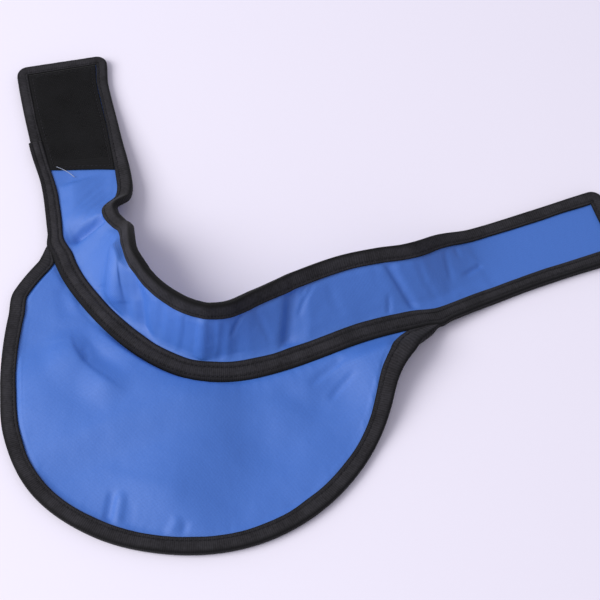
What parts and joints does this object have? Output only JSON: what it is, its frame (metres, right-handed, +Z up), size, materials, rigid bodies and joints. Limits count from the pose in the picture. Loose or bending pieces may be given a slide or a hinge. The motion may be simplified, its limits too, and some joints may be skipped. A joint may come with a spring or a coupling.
{
  "type": "thyroid shield collar",
  "caption": "Blue padded thyroid shield collar with a bib, bound in black tape, lying opened out.",
  "frame": {"origin": "on the table, under the middle of the collar's bounding box as it lies opened out", "axes": "+Z up off the table; +X from the tab's end to the strap's end; +Y from the bib's hem towards the neck space"},
  "size_m": [0.4256, 0.384, 0.0483],
  "materials": {
    "blue_nylon": "coated plain-weave nylon, soft sheen, light creases",
    "black_tape": "woven ribbed binding tape, matt, stitched in black",
    "hook_tape": "rows of short nylon hooks, matt",
    "loop_tape": "brushed loop pile, matt"
  },
  "bodies": {
    "root": {"collar_panel": "blue_nylon", "collar_binding": "black_tape", "neck_seam_tape": "black_tape", "bib_panel": "blue_nylon", "bib_binding": "black_tape", "hook_patch": "hook_tape", "loop_patch": "loop_tape"}
  },
  "joints": []
}
